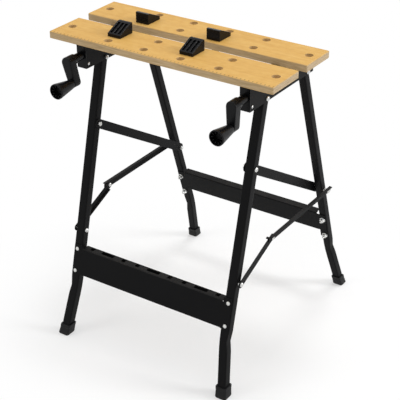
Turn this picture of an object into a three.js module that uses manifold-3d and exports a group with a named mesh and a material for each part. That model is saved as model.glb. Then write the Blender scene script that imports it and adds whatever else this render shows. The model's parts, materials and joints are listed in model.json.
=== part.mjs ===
// Folding workbench with two vice jaws, in millimetres, +Z up, +X to the right, the user at -Y.
// It stands open on its four feet. The origin is on the floor, under the middle of the feet.
import * as THREE from 'three';
import { mergeVertices } from 'three/addons/utils/BufferGeometryUtils.js';
import Module from 'manifold-3d';

const wasm = await Module();
wasm.setup();

// Jaw boards: the front one is fixed to the rails, the rear one slides on them.
const HEIGHT = 780;
const BOARD_LENGTH = 605;
const BOARD_THICK = 17;
const FRONT_BOARD_DEPTH = 110;
const REAR_BOARD_DEPTH = 104;
const JAW_GAP = 35;
const BOARD_CORNER = 3;
const BOARD_CHAMFER = 1.2;

// Dog holes: two rows of four in each board, and one hole near each end.
const DOG_HOLE = 20;
const HOLES_PER_ROW = 4;
const HOLE_PITCH = 100;
const JAW_ROW_INSET = 26.5;
const FRONT_ROW_INSET = 27;
const REAR_ROW_INSET = 20;
const END_HOLE_INSET = 25.5;

// Vice rails: an inverted channel under the boards on each side, with a slot for the jaw nut's neck.
const FRAME_HALF = 223.5;
const RAIL_INSET = 20;
const RAIL_LENGTH = 279;
const RAIL_HEIGHT = 63;
const RAIL_SHEET = 1.5;
const RAIL_BEND = 3;
const RAIL_SLOPE_RUN = 27;
const RAIL_SLOPE_DROP = 19;

// Legs: square tube, straight down to a crimped bend, then turned outwards to the foot.
const FRONT_TUBE = 23;
const REAR_TUBE = 20;
const TUBE_WALL = 1.5;
const TUBE_CORNER = 3;
const FRONT_LEAN = THREE.MathUtils.degToRad(14);
const REAR_LEAN = THREE.MathUtils.degToRad(18.6);
const LEG_TOP = 8;
const LEG_PLAY = 0.5;
const BEND_HEIGHT = 135;
const BEND_REACH = 26;
const FOOT_SPLAY = 16.5;
const CRIMP = 3.5;

// Foot caps: plastic boots over the tube ends, flat on the floor.
const FOOT_HEIGHT = 28;
const FOOT_WALL = 4;
const FOOT_SOLE = 7;
const FOOT_ROUND = 2.5;
const FOOT_LIP = 1.5;
const FOOT_COLLAR = 8;

// Fold linkage, in the side view: the rear pivot is inset from the rail's rear end, and drops are measured
// down the legs from their top pivots.
const PIVOT_INSET = 25;
const PIVOT_ABOVE_EDGE = 6.3;
const PIVOT_SPACING = 183;
const BRACE_DROP = 164;
const STAY_DROP = 386;
const LOWER_DROP = 440;
const LOWER_STAY = 149.5;
const ELBOW_RISE = 38.5;

// Links: flat side braces inside the legs, and folding stays of angle section outside them.
const BRACE_WIDTH = 23;
const BRACE_SHEET = 2.5;
const STAY_SHEET = 2;
const STAY_STANDOFF = 4.7;
const LOWER_WIDTH = 18;
const UPPER_BELOW = 6.5;
const UPPER_FLANGE = 6.5;
const STAY_TAIL = 14;
const STAY_OVERHANG = 18;
const STAY_CORNER = 4;
const END_FLAT = 0.2;
const STOP_AT = 9;
const STOP_LENGTH = 6;
const ELBOW_RELIEF = 8;

// Bolts and rivets.
const BOLT = 6;
const HEAD = 12;
const HEAD_HEIGHT = 4;
const NUT_FLATS = 10;
const NUT_HEIGHT = 5;
const BOLT_TIP = 2;
const RIVET = 7;
const RIVET_HEAD = 11;
const RIVET_HEAD_HEIGHT = 2.6;
const SPACER = 11;
const LOWER_SPACER = 10;
// A domed head's edge, as shares of its radius and of its height.
const DOME = [[1, 0], [1, 0.28], [0.84, 0.72], [0.5, 1]];

// Vice: spindle, jaw nut with its neck, bushes and travel.
const SPINDLE = 10;
const SPINDLE_DROP = 32;
const JAW_NUT_INSET = 40;
const JAW_NUT_LENGTH = 36;
const JAW_NUT_BELOW = 9.5;
const NECK_WIDTH = 10;
const NECK_LENGTH = 24;
const TRAVEL_CLOSING = 34;
const TRAVEL_OPENING = 66;
const FRONT_BUSH_LENGTH = 30;
const REAR_BUSH_LENGTH = 16;
const BUSH_PLATE = 2.5;
const BUSH_COLLAR = 20;
const BUSH_COLLAR_LENGTH = 28;

// Cranks: hub, arm, pin and a hollow tapered grip.
const CRANK_CLEAR = 12;
const HUB = 26;
const HUB_LENGTH = 28;
const HUB_FLOOR = 4;
const ARM_THICK = 22;
const ARM_END = 21;
const ARM_ROUND = 2;
const CRANK_THROW = 50;
const LEFT_CRANK_TURN = THREE.MathUtils.degToRad(-16);
const PIN = 8;
const PIN_SEAT = 12;
const PIN_HEAD = 14;
const PIN_HEAD_HEIGHT = 3;
const GRIP_LENGTH = 56;
const GRIP_SMALL = 22;
const GRIP_LARGE = 37;
const GRIP_BAND = 5;
const GRIP_CHAMFER = 1;
const GRIP_RECESS = 16;
const GRIP_WALL = 2.5;

// Slotted tool tray across the front legs, and the crossbar across the rear legs.
const TRAY_DROP = 487;
const TRAY_HEIGHT = 69;
const TRAY_EAR_RISE = 9;
const TRAY_FLANGE = 24;
const TRAY_LIP = 12;
const TRAY_RETURN = 9;
const CROSSBAR_DROP = 470;
const CROSSBAR_HEIGHT = 64;
const CROSSBAR_FLANGE = 18;
const CROSSBAR_RETURN = 9;
const CROSSBAR_EAR = 84;
const SHEET = 1.5;
const SHEET_BEND = 3;
const SHEET_EDGE = 2.5;
const SLOT_GROUPS = 3;
const SLOT_GROUP_PITCH = 138;
const SLOT_STEP = 48;
const SLOT_DEPTH = 11;
const SLOT_INSET = 8;
const SQUARE_SLOT = 11;
const LONG_SLOT = 37;

// Bench dogs: wedges on round pegs, with grooves down the slope that leave ribs between them.
const DOG_WIDTH = 36;
const DOG_LENGTH = 48;
const DOG_NOSE = 13;
const DOG_HEIGHT = 26;
const DOG_FLAT = 7;
const DOG_TAIL = 8;
const DOG_GROOVES = 3;
const DOG_RIB = 4;
const GROOVE_DEPTH = 4;
const GROOVE_RIM = 4;
const PEG_LENGTH = 29;

// Clearances between pieces that touch or turn on each other.
const SEAT = 0.3;
const TURN = 0.3;
const SLIDE = 0.5;
const LINK_GAP = 0.8;
const STOP_GAP = 0.4;
const PEG_PLAY = 0.4;

// How far a cutter runs past the face that it leaves by.
const OVERCUT = 1;

// Facets of round forms.
const ROUND_SIDES = 12;
const HOLE_SIDES = 20;
const GRIP_SIDES = 20;
const ARC_STEPS = 2;
const RING_STEPS = 3;
const BEND_STEPS = 3;

// Heights and places that follow from the sizes above. Y is measured from the front board's front edge.
const boardBottom = HEIGHT - BOARD_THICK;
const rearBoardFront = FRONT_BOARD_DEPTH + JAW_GAP;
const railTop = boardBottom - SEAT;
const railBottom = railTop - RAIL_HEIGHT;
const railRear = RAIL_INSET + RAIL_LENGTH;
const legFace = Math.max(FRONT_TUBE, REAR_TUBE) / 2;
const railInner = 2 * (legFace + LEG_PLAY);
const railOuter = railInner + 2 * RAIL_SHEET;
const spindleHeight = boardBottom - SPINDLE_DROP;
const hubRear = -CRANK_CLEAR;
const hubFront = hubRear - HUB_LENGTH;

// Pivots in the side view: A and B at the rails, C and F on the front leg, D on the rear leg, E the elbow.
const pivotB = new THREE.Vector2(railRear - PIVOT_INSET, railBottom + PIVOT_ABOVE_EDGE);
const pivotA = new THREE.Vector2(pivotB.x - PIVOT_SPACING, pivotB.y);
const frontDown = new THREE.Vector2(-Math.sin(FRONT_LEAN), -Math.cos(FRONT_LEAN));
const rearDown = new THREE.Vector2(Math.sin(REAR_LEAN), -Math.cos(REAR_LEAN));
const pivotC = pivotA.clone().addScaledVector(frontDown, BRACE_DROP);
const pivotF = pivotA.clone().addScaledVector(frontDown, LOWER_DROP);
const pivotD = pivotB.clone().addScaledVector(rearDown, STAY_DROP);
const stayLine = pivotD.clone().sub(pivotF).normalize();
const stayNormal = new THREE.Vector2(-stayLine.y, stayLine.x);
const pivotE = pivotF.clone()
  .addScaledVector(stayLine, Math.sqrt(LOWER_STAY ** 2 - ELBOW_RISE ** 2))
  .addScaledVector(stayNormal, ELBOW_RISE);

// Layers across the bench, from the middle outwards.
const braceOuter = FRAME_HALF - legFace - LINK_GAP;
const braceInner = braceOuter - BRACE_SHEET;
const stayInner = FRAME_HALF + legFace + LINK_GAP;
const lowerWeb = stayInner + STAY_STANDOFF;
const upperWeb = lowerWeb + STAY_SHEET + SLIDE;
const upperOuter = upperWeb + STAY_SHEET;

// Geometry helpers

function outwards(geometry) {
  const bare = new THREE.BufferGeometry();
  bare.setAttribute('position', geometry.getAttribute('position').clone());
  if (geometry.index) bare.setIndex(geometry.index.clone());
  const merged = mergeVertices(bare, 1e-4);
  const points = merged.getAttribute('position');
  const whole = [];
  for (let i = 0; i < merged.index.count; i += 3) {
    const [a, b, c] = merged.index.array.slice(i, i + 3);
    if (a !== b && b !== c && c !== a) whole.push(a, b, c);
  }
  merged.setIndex(whole);
  const index = merged.index.array;
  const corner = [new THREE.Vector3(), new THREE.Vector3(), new THREE.Vector3()];
  let volume = 0;
  for (let i = 0; i < index.length; i += 3) {
    corner.forEach((point, k) => point.fromBufferAttribute(points, index[i + k]));
    volume += corner[0].dot(corner[1].clone().cross(corner[2]));
  }
  if (volume < 0) index.reverse();
  return merged;
}

function solid(geometry) {
  const closed = outwards(geometry);
  const vertProperties = new Float32Array(closed.getAttribute('position').array);
  const triVerts = new Uint32Array(closed.index.array);
  return new wasm.Manifold(new wasm.Mesh({ numProp: 3, vertProperties, triVerts }));
}

function geometryOf(body) {
  const mesh = body.getMesh();
  const geometry = new THREE.BufferGeometry();
  geometry.setAttribute('position', new THREE.BufferAttribute(new Float32Array(mesh.vertProperties), 3));
  geometry.setIndex(new THREE.BufferAttribute(new Uint32Array(mesh.triVerts), 1));
  return geometry;
}

function join(...geometries) {
  const bodies = geometries.map(solid);
  return geometryOf(bodies.reduce((whole, next) => whole.add(next)));
}

function cut(geometry, cutters) {
  return geometryOf(cutters.map(solid).reduce((rest, cutter) => rest.subtract(cutter), solid(geometry)));
}

function mirrored(geometry) {
  const other = outwards(geometry);
  other.scale(-1, 1, 1);
  return outwards(other);
}

function block(x0, x1, y0, y1, z0, z1) {
  const geometry = new THREE.BoxGeometry(x1 - x0, y1 - y0, z1 - z0);
  return geometry.translate((x0 + x1) / 2, (y0 + y1) / 2, (z0 + z1) / 2);
}

function rod(from, to, diameter, sides = ROUND_SIDES) {
  const along = to.clone().sub(from);
  const geometry = new THREE.CylinderGeometry(diameter / 2, diameter / 2, along.length(), sides);
  const upright = new THREE.Vector3(0, 1, 0);
  const turn = new THREE.Quaternion().setFromUnitVectors(upright, along.clone().normalize());
  const middle = from.clone().add(to).multiplyScalar(0.5);
  return geometry.applyQuaternion(turn).translate(middle.x, middle.y, middle.z);
}

function rodX(x0, x1, y, z, diameter, sides) {
  return rod(new THREE.Vector3(x0, y, z), new THREE.Vector3(x1, y, z), diameter, sides);
}

function rodY(y0, y1, x, z, diameter, sides) {
  return rod(new THREE.Vector3(x, y0, z), new THREE.Vector3(x, y1, z), diameter, sides);
}

function rodZ(z0, z1, x, y, diameter, sides) {
  return rod(new THREE.Vector3(x, y, z0), new THREE.Vector3(x, y, z1), diameter, sides);
}

// An outline in the Y-Z plane, drawn out along X.
function drawnX(shape, x0, x1) {
  const settings = { depth: x1 - x0, bevelEnabled: false, curveSegments: ARC_STEPS };
  const geometry = new THREE.ExtrudeGeometry(shape, settings);
  const turn = new THREE.Matrix4().makeBasis(
    new THREE.Vector3(0, 1, 0), new THREE.Vector3(0, 0, 1), new THREE.Vector3(1, 0, 0));
  return geometry.applyMatrix4(turn).translate(x0, 0, 0);
}

// An outline in the X-Z plane, drawn out along Y.
function drawnY(shape, y0, y1, round = 0) {
  const settings = {
    depth: y1 - y0 - 2 * round, bevelEnabled: round > 0, bevelThickness: round, bevelSize: round,
    bevelOffset: -round, bevelSegments: 2, curveSegments: 2 * ARC_STEPS,
  };
  const geometry = new THREE.ExtrudeGeometry(shape, settings);
  const turn = new THREE.Matrix4().makeBasis(
    new THREE.Vector3(1, 0, 0), new THREE.Vector3(0, 0, 1), new THREE.Vector3(0, -1, 0));
  return geometry.applyMatrix4(turn).translate(0, y1 - round, 0);
}

// A profile of [radius, distance] pairs turned about the Y axis.
function turnedY(profile, sides) {
  return new THREE.LatheGeometry(profile.map(([radius, along]) => new THREE.Vector2(radius, along)), sides);
}

// A profile of [radius, distance] pairs turned about an axis along X.
function turnedX(profile, sides) {
  return turnedY(profile, sides).rotateZ(-Math.PI / 2);
}

function roundedBox(x0, x1, y0, y1, radius) {
  const shape = new THREE.Shape();
  shape.absarc(x1 - radius, y1 - radius, radius, 0, Math.PI / 2);
  shape.absarc(x0 + radius, y1 - radius, radius, Math.PI / 2, Math.PI);
  shape.absarc(x0 + radius, y0 + radius, radius, Math.PI, 1.5 * Math.PI);
  shape.absarc(x1 - radius, y0 + radius, radius, 1.5 * Math.PI, 2 * Math.PI);
  return shape;
}

// The section of a sheet bent along a line of [u, v] points.
// Every bend turns right, and the thickness lies on the right of the line.
function bentSheet(line, sheet, bend) {
  const points = line.map(([u, v]) => new THREE.Vector2(u, v));
  const runs = points.slice(1).map((point, k) => point.clone().sub(points[k]).normalize());
  const right = (run) => new THREE.Vector2(run.y, -run.x);
  const outer = [points[0]];
  const inner = [points[0].clone().addScaledVector(right(runs[0]), sheet)];
  for (let k = 1; k < runs.length; k += 1) {
    const turn = Math.acos(runs[k - 1].dot(runs[k]));
    const start = points[k].clone().addScaledVector(runs[k - 1], -bend * Math.tan(turn / 2));
    const centre = start.clone().addScaledVector(right(runs[k - 1]), bend);
    const spoke = start.sub(centre).normalize();
    for (let step = 0; step <= BEND_STEPS; step += 1) {
      const turned = spoke.clone().rotateAround(new THREE.Vector2(), -turn * step / BEND_STEPS);
      outer.push(centre.clone().addScaledVector(turned, bend));
      inner.push(centre.clone().addScaledVector(turned, bend - sheet));
    }
  }
  outer.push(points.at(-1));
  inner.push(points.at(-1).clone().addScaledVector(right(runs.at(-1)), sheet));
  return new THREE.Shape([...outer, ...inner.reverse()]);
}

// A web of the given height at u = 0 with a flange at each end of it, towards +u.
function channelShape(height, lowFlange, highFlange, sheet, bend) {
  return bentSheet([[lowFlange, 0], [0, 0], [0, height], [highFlange, height]], sheet, bend);
}

// A closed skin over rings of points with equal counts, with flat ends.
function loft(rings) {
  const count = rings[0].length;
  const points = rings.flat();
  const index = [];
  for (let ring = 0; ring + 1 < rings.length; ring += 1) {
    for (let k = 0; k < count; k += 1) {
      const a = ring * count + k;
      const b = ring * count + (k + 1) % count;
      index.push(a, b, b + count, a, b + count, a + count);
    }
  }
  const last = (rings.length - 1) * count;
  for (let k = 1; k + 1 < count; k += 1) {
    index.push(0, k + 1, k);
    index.push(last, last + k, last + k + 1);
  }
  const geometry = new THREE.BufferGeometry().setFromPoints(points);
  geometry.setIndex(index);
  return geometry;
}

function squareRing(half, corner) {
  const ring = [];
  for (let side = 0; side < 4; side += 1) {
    const middle = new THREE.Vector2(half - corner, half - corner);
    middle.rotateAround(new THREE.Vector2(), side * Math.PI / 2);
    for (let step = 0; step < RING_STEPS; step += 1) {
      const angle = (side + step / (RING_STEPS - 1)) * Math.PI / 2;
      ring.push(new THREE.Vector2(middle.x + corner * Math.cos(angle), middle.y + corner * Math.sin(angle)));
    }
  }
  return ring;
}

// Materials

const finish = {
  wood: { color: 0xdcae68, roughness: 0.55, metalness: 0 },
  paint: { color: 0x1d1d1e, roughness: 0.42, metalness: 0.2 },
  plastic: { color: 0x161617, roughness: 0.6, metalness: 0 },
  zinc: { color: 0xc9ccd0, roughness: 0.3, metalness: 1 },
  steel: { color: 0x8d9196, roughness: 0.35, metalness: 1 },
};

function add(group, name, geometry, look) {
  const mesh = new THREE.Mesh(outwards(geometry), new THREE.MeshStandardMaterial(finish[look]));
  mesh.name = name;
  group.add(mesh);
  return mesh;
}

// The same piece on both sides: the geometry given is the right-hand one.
function addPair(group, name, geometry, look) {
  return [add(group, `right_${name}`, geometry, look), add(group, `left_${name}`, mirrored(geometry), look)];
}

// Jaw boards and bench dogs

function holePlaces(front, rows) {
  const places = [];
  for (const row of rows) {
    for (let i = 0; i < HOLES_PER_ROW; i += 1) {
      places.push([(i - (HOLES_PER_ROW - 1) / 2) * HOLE_PITCH, front + row]);
    }
  }
  const endX = BOARD_LENGTH / 2 - END_HOLE_INSET;
  const endY = front + (rows[0] + rows[1]) / 2;
  places.push([-endX, endY], [endX, endY]);
  return places;
}

function boardGeometry(front, depth, holes) {
  const outline = roundedBox(-BOARD_LENGTH / 2, BOARD_LENGTH / 2, front, front + depth, BOARD_CORNER);
  const plank = new THREE.ExtrudeGeometry(outline, {
    depth: BOARD_THICK - 2 * BOARD_CHAMFER, bevelEnabled: true, bevelThickness: BOARD_CHAMFER,
    bevelSize: BOARD_CHAMFER, bevelOffset: -BOARD_CHAMFER, bevelSegments: 1, curveSegments: ARC_STEPS,
  });
  plank.translate(0, 0, boardBottom + BOARD_CHAMFER);
  const drill = ([x, y]) => rodZ(boardBottom - OVERCUT, HEIGHT + OVERCUT, x, y, DOG_HOLE, HOLE_SIDES);
  return cut(plank, holes.map(drill));
}

// A dog with its peg on the Z axis, standing on z = 0, with its upright face towards +Y.
function dogGeometry() {
  const tail = DOG_NOSE - DOG_LENGTH;
  const slopeTop = new THREE.Vector2(DOG_NOSE - DOG_FLAT, DOG_HEIGHT);
  const slope = slopeTop.clone().sub(new THREE.Vector2(tail, DOG_TAIL));
  const profile = new THREE.Shape();
  profile.moveTo(DOG_NOSE, 0);
  profile.lineTo(DOG_NOSE, DOG_HEIGHT);
  profile.lineTo(slopeTop.x, slopeTop.y);
  profile.lineTo(tail, DOG_TAIL);
  profile.lineTo(tail, 0);
  profile.closePath();
  const wedge = drawnX(profile, -DOG_WIDTH / 2, DOG_WIDTH / 2);
  const grooveWidth = (DOG_WIDTH - (DOG_GROOVES + 1) * DOG_RIB) / DOG_GROOVES;
  const grooves = [];
  for (let i = 0; i < DOG_GROOVES; i += 1) {
    const x = (i - (DOG_GROOVES - 1) / 2) * (grooveWidth + DOG_RIB);
    const groove = block(
      x - grooveWidth / 2, x + grooveWidth / 2, GROOVE_RIM - slope.length(), -GROOVE_RIM,
      -GROOVE_DEPTH, OVERCUT);
    grooves.push(groove.rotateX(slope.angle()).translate(0, slopeTop.x, slopeTop.y));
  }
  const peg = rodZ(-PEG_LENGTH, DOG_TAIL / 2, 0, 0, DOG_HOLE - 2 * PEG_PLAY, ROUND_SIDES);
  return cut(join(wedge, peg), grooves);
}

// Vice rails, bushes and jaw nuts

const jawNutY = rearBoardFront + JAW_NUT_INSET;
const boltHole = BOLT + 2 * TURN;
const nutCorners = NUT_FLATS / Math.cos(Math.PI / 6);

function railGeometry() {
  const section = channelShape(railOuter, RAIL_HEIGHT, RAIL_HEIGHT, RAIL_SHEET, RAIL_BEND);
  const channel = drawnY(section, RAIL_INSET, railRear);
  const turned = channel.applyMatrix4(new THREE.Matrix4().makeBasis(
    new THREE.Vector3(0, 0, -1), new THREE.Vector3(0, 1, 0), new THREE.Vector3(1, 0, 0)));
  turned.translate(FRAME_HALF - railOuter / 2, 0, railTop);
  const slotFront = jawNutY - TRAVEL_CLOSING - NECK_LENGTH / 2 - 2 * SLIDE;
  const slotRear = jawNutY + TRAVEL_OPENING + NECK_LENGTH / 2 + 2 * SLIDE;
  const slotHalf = NECK_WIDTH / 2 + SLIDE;
  const slot = block(
    FRAME_HALF - slotHalf, FRAME_HALF + slotHalf, slotFront, slotRear, railTop - 2 * RAIL_SHEET,
    railTop + OVERCUT);
  const slopeRun = RAIL_SLOPE_RUN + RAIL_SLOPE_RUN * OVERCUT / RAIL_SLOPE_DROP;
  const slope = new THREE.Shape([
    new THREE.Vector2(railRear - slopeRun, railTop + OVERCUT),
    new THREE.Vector2(railRear, railTop - RAIL_SLOPE_DROP),
    new THREE.Vector2(railRear + OVERCUT, railTop - RAIL_SLOPE_DROP),
    new THREE.Vector2(railRear + OVERCUT, railTop + OVERCUT),
  ]);
  const corner = drawnX(slope, FRAME_HALF - railOuter, FRAME_HALF + railOuter);
  const across = (pivot) => rodX(FRAME_HALF - railOuter, FRAME_HALF + railOuter, pivot.x, pivot.y, boltHole);
  return cut(turned, [slot, corner, across(pivotA), across(pivotB)]);
}

function bushBore(y0, y1) {
  return rodY(y0, y1, FRAME_HALF, spindleHeight, SPINDLE + 2 * TURN);
}

// A block inside the channel, with its corners rounded to clear the channel's bends.
function insideRail(clearance, bottom, y0, y1, top = railTop - RAIL_SHEET - clearance) {
  const half = railInner / 2 - clearance;
  return drawnY(roundedBox(FRAME_HALF - half, FRAME_HALF + half, bottom, top, RAIL_BEND), y0, y1);
}

function frontBushGeometry() {
  const plug = insideRail(
    SEAT, railBottom + BUSH_PLATE, RAIL_INSET - SEAT - BUSH_PLATE / 2, RAIL_INSET + FRONT_BUSH_LENGTH);
  const plateRear = RAIL_INSET - SEAT;
  const plate = block(
    FRAME_HALF - railOuter / 2, FRAME_HALF + railOuter / 2, plateRear - BUSH_PLATE, plateRear,
    railBottom, railTop);
  const collarFront = plateRear - BUSH_PLATE - BUSH_COLLAR_LENGTH;
  const collar = rodY(collarFront, plateRear - BUSH_PLATE / 2, FRAME_HALF, spindleHeight, BUSH_COLLAR);
  const bore = bushBore(collarFront - OVERCUT, RAIL_INSET + FRONT_BUSH_LENGTH + OVERCUT);
  return cut(join(plug, plate, collar), [bore]);
}

function rearBushGeometry() {
  const bottom = spindleHeight - JAW_NUT_BELOW;
  const top = spindleHeight + JAW_NUT_BELOW;
  const plateFront = railRear + SEAT;
  const plug = insideRail(SEAT, bottom, railRear - REAR_BUSH_LENGTH, plateFront + BUSH_PLATE / 2, top);
  const plate = block(
    FRAME_HALF - railOuter / 2, FRAME_HALF + railOuter / 2, plateFront, plateFront + BUSH_PLATE,
    bottom, top);
  return cut(join(plug, plate), [bushBore(railRear - REAR_BUSH_LENGTH - OVERCUT, plateFront)]);
}

function jawNutGeometry() {
  const front = jawNutY - JAW_NUT_LENGTH / 2;
  const rear = jawNutY + JAW_NUT_LENGTH / 2;
  const body = insideRail(SLIDE, spindleHeight - JAW_NUT_BELOW, front, rear);
  const neck = block(
    FRAME_HALF - NECK_WIDTH / 2, FRAME_HALF + NECK_WIDTH / 2,
    jawNutY - NECK_LENGTH / 2, jawNutY + NECK_LENGTH / 2, railTop - 2 * RAIL_SHEET, boardBottom - SEAT);
  return cut(join(body, neck), [bushBore(front - OVERCUT, rear + OVERCUT)]);
}

// Spindles and cranks, in a frame whose Y axis is the spindle's and whose arm hangs down

function crankArmGeometry() {
  const armRear = hubFront + ARM_THICK;
  const bend = Math.asin((HUB - ARM_END) / 2 / CRANK_THROW);
  const outline = new THREE.Shape();
  outline.absarc(0, 0, HUB / 2, -bend, Math.PI + bend);
  outline.absarc(0, -CRANK_THROW, ARM_END / 2, Math.PI + bend, 2 * Math.PI - bend);
  const arm = drawnY(outline, hubFront, armRear, ARM_ROUND);
  const hub = rodY(hubFront + ARM_ROUND, hubRear, 0, 0, HUB, GRIP_SIDES);
  const bore = rodY(hubFront + HUB_FLOOR, hubRear + OVERCUT, 0, 0, SPINDLE + 2 * TURN);
  const pinHole = rodY(hubFront - OVERCUT, hubFront + PIN_SEAT + TURN, 0, -CRANK_THROW, PIN + 2 * TURN);
  return cut(join(arm, hub), [bore, pinHole]);
}

function spindleGeometry() {
  return rodY(hubFront + HUB_FLOOR + SEAT, railRear - SEAT, 0, 0, SPINDLE);
}

const gripRear = hubFront - SLIDE;
const gripFront = gripRear - GRIP_LENGTH;
const recessFloor = gripFront + GRIP_RECESS;

function gripPinGeometry() {
  const headRear = recessFloor - SLIDE;
  const shank = rodY(headRear - PIN_HEAD_HEIGHT / 2, hubFront + PIN_SEAT, 0, -CRANK_THROW, PIN);
  const head = rodY(headRear - PIN_HEAD_HEIGHT, headRear, 0, -CRANK_THROW, PIN_HEAD);
  return join(shank, head);
}

function gripGeometry() {
  const bore = PIN / 2 + TURN;
  const small = GRIP_SMALL / 2;
  const large = GRIP_LARGE / 2;
  const mouth = large - GRIP_WALL;
  const profile = [
    [bore, gripRear], [small - GRIP_CHAMFER, gripRear], [small, gripRear - GRIP_CHAMFER],
    [large, gripFront + GRIP_BAND], [large, gripFront + GRIP_CHAMFER], [large - GRIP_CHAMFER, gripFront],
    [mouth, gripFront], [mouth - GRIP_CHAMFER, recessFloor], [bore, recessFloor], [bore, gripRear],
  ];
  return turnedY(profile, GRIP_SIDES).translate(0, 0, -CRANK_THROW);
}

// Legs, in a frame with the top pivot at its origin and the leg hanging down -Z

function legLength(pivot, lean) {
  return pivot.y / Math.cos(lean);
}

// How far the right leg's middle line has moved outwards at a distance down the leg.
function splayAt(down, pivot, lean) {
  const bend = legLength(pivot, lean) - BEND_HEIGHT / Math.cos(lean);
  const rate = FOOT_SPLAY / (BEND_HEIGHT / Math.cos(lean));
  const into = THREE.MathUtils.clamp(down - bend + BEND_REACH, 0, 2 * BEND_REACH);
  return rate * (into ** 2 / (4 * BEND_REACH) + Math.max(0, down - bend - BEND_REACH));
}

function legLoft(half, corner, top, bottom, pivot, lean) {
  const bend = legLength(pivot, lean) - BEND_HEIGHT / Math.cos(lean);
  const stations = [
    [-top, 0], [bend - BEND_REACH, 0], [bend - BEND_REACH / 2, 0.4], [bend, 1], [bend + BEND_REACH / 2, 0.4],
    [bend + BEND_REACH, 0], [bottom, 0],
  ];
  const rings = stations.map(([down, crimp]) => squareRing(half, corner).map(({ x, y }) => {
    const pressed = x > 0 ? x * (1 - crimp * CRIMP / half) : x;
    return new THREE.Vector3(FRAME_HALF + splayAt(down, pivot, lean) + pressed, y, -down);
  }));
  return loft(rings);
}

// The tube's end stands off the floor by the sole and by the rise of its lowest edge.
function legEnd(tube, pivot, lean) {
  return legLength(pivot, lean) - (FOOT_SOLE + tube / 2 * Math.sin(lean)) / Math.cos(lean);
}

function legGeometry(tube, pivot, lean, drops) {
  const end = legEnd(tube, pivot, lean);
  const outer = legLoft(tube / 2, TUBE_CORNER, LEG_TOP, end, pivot, lean);
  const inner = legLoft(
    tube / 2 - TUBE_WALL, TUBE_CORNER - TUBE_WALL, LEG_TOP + OVERCUT, end + OVERCUT, pivot, lean);
  const across = (down) => rodX(FRAME_HALF - tube, FRAME_HALF + tube, 0, -down, boltHole);
  return cut(outer, [inner, ...drops.map(across)]);
}

// A foot cap in the bench frame, lofted along the leg and hollowed by the tube end.
function footGeometry(tube, pivot, lean, forward) {
  const half = tube / 2 + FOOT_WALL;
  const collar = FOOT_HEIGHT - FOOT_COLLAR;
  const waist = half - FOOT_LIP;
  const levels = [
    [0, waist], [FOOT_ROUND, half], [collar - FOOT_LIP, half - FOOT_LIP / 2], [collar - FOOT_LIP / 2, waist],
    [collar, half - FOOT_LIP / 4], [FOOT_HEIGHT - FOOT_LIP / 2, half - FOOT_LIP / 4], [FOOT_HEIGHT, waist],
  ];
  const rings = levels.map(([z, size]) => {
    const down = (pivot.y - z) / Math.cos(lean);
    const x = FRAME_HALF + splayAt(down, pivot, lean);
    const y = pivot.x + forward * Math.tan(lean) * (pivot.y - z);
    const ring = squareRing(size, TUBE_CORNER + FOOT_LIP);
    return ring.map((point) => new THREE.Vector3(x + point.x, y + point.y, z));
  });
  const pocket = legLoft(
    tube / 2 + SEAT, TUBE_CORNER, LEG_TOP, legEnd(tube, pivot, lean) + SEAT, pivot, lean);
  pocket.rotateX(forward * lean).translate(0, pivot.x, pivot.y);
  return cut(loft(rings), [pocket]);
}

// A bent sheet across a pair of legs: its web lies on their front faces, its flanges turn back between them.
// Its ears over the legs run from earTop to earBottom, measured down the leg.
function sheetGeometry(tube, drop, height, section, earTop, earBottom) {
  const face = -tube / 2 - SEAT - SHEET;
  const between = FRAME_HALF - legFace - LINK_GAP - BRACE_SHEET - LINK_GAP;
  const middle = drawnX(section, -between, between).translate(0, face, -drop - height);
  const reach = FRAME_HALF + tube / 2 - SHEET_EDGE;
  const earInner = FRAME_HALF - tube / 2 - SHEET_EDGE;
  const strip = block(-reach, reach, face, face + SHEET, -drop - height + SHEET_BEND, -drop - SHEET_BEND);
  const ears = [-1, 1].map((side) => block(
    Math.min(side * earInner, side * reach), Math.max(side * earInner, side * reach), face, face + SHEET,
    -earBottom, -earTop));
  return join(middle, strip, ...ears);
}

// The tray's section, up its front, back along the level tool rack and down the lip behind it.
function traySection() {
  const back = new THREE.Vector2(Math.cos(FRONT_LEAN), Math.sin(FRONT_LEAN)).multiplyScalar(TRAY_FLANGE);
  const rim = [back.x, TRAY_HEIGHT + back.y];
  const lip = [rim[0] + TRAY_LIP * Math.sin(FRONT_LEAN), rim[1] - TRAY_LIP * Math.cos(FRONT_LEAN)];
  return bentSheet([[TRAY_RETURN, 0], [0, 0], [0, TRAY_HEIGHT], rim, lip], SHEET, SHEET_BEND);
}

function traySlots() {
  const face = -FRONT_TUBE / 2 - SEAT - SHEET;
  const slots = [];
  for (let group = 0; group < SLOT_GROUPS; group += 1) {
    const centre = (group - (SLOT_GROUPS - 1) / 2) * SLOT_GROUP_PITCH;
    for (const [step, length] of [[-1, SQUARE_SLOT], [0, LONG_SLOT], [1, SQUARE_SLOT]]) {
      const x = centre + step * SLOT_STEP;
      const slot = block(
        x - length / 2, x + length / 2, SLOT_INSET, SLOT_INSET + SLOT_DEPTH, -2 * SHEET, OVERCUT);
      slots.push(slot.rotateX(FRONT_LEAN).translate(0, face, -TRAY_DROP));
    }
  }
  return slots;
}

// Bolts across a side, along X at the origin, from the nut inside to the domed head outside

// A round head from its face outwards, as [radius, distance] pairs that close on the axis.
function domeProfile(face, outwardSign, head, height) {
  const edge = DOME.map(([radius, share]) => [radius * head / 2, face + outwardSign * share * height]);
  return [...edge, [0, face + outwardSign * height]];
}

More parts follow.
